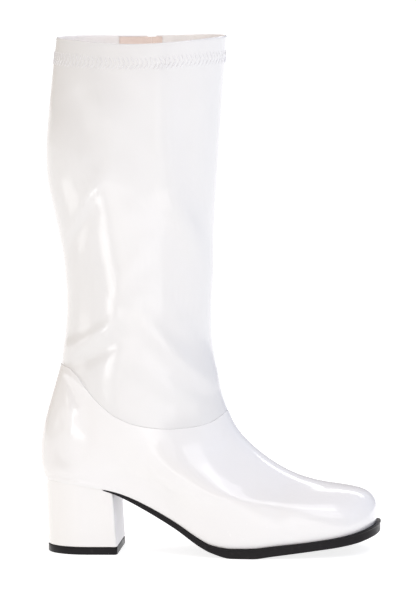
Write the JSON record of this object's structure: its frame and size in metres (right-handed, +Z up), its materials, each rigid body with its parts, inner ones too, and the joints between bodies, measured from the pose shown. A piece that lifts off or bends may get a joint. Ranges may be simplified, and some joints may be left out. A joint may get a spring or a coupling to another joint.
{
  "type": "go-go boot",
  "caption": "Knee-length white patent go-go boot for the right foot, with a lasted foot, stretch shaft, block heel, thin sole and an inner-side zip.",
  "frame": {"origin": "middle of the boot's overall length and width, on the floor that heel and forefoot stand on", "axes": "+X to the toe, +Y to the inner side of the foot, +Z up to the collar"},
  "size_m": [0.2546, 0.0936, 0.3852],
  "materials": {
    "white_patent": "high-gloss white patent",
    "white_stretch_patent": "high-gloss white stretch patent on a knit back",
    "white_heel_cover": "white patent wrapped over a moulded block",
    "black_rubber": "satin black",
    "beige_sock": "matt beige lining",
    "beige_tape": "woven tape",
    "white_coil": "white coil teeth",
    "nickel": "polished nickel"
  },
  "bodies": {
    "boot": {"upper": "white_patent", "shaft": "white_stretch_patent", "outsole": "black_rubber", "insole": "beige_sock", "heel_block": "white_heel_cover", "top_piece": "black_rubber", "zip_tape_rear": "beige_tape", "zip_tape_front": "beige_tape", "zip_chain": "white_coil", "zip_slider": "nickel"},
    "pull": {"zip_pull": "nickel"}
  },
  "joints": [
    {"name": "pull_swing", "type": "hinge", "parent": "boot", "child": "pull", "pos_m": [-0.04325, 0.04482, 0.36976], "axis": [1, 0, 0], "range_deg": [0, 150]}
  ]
}
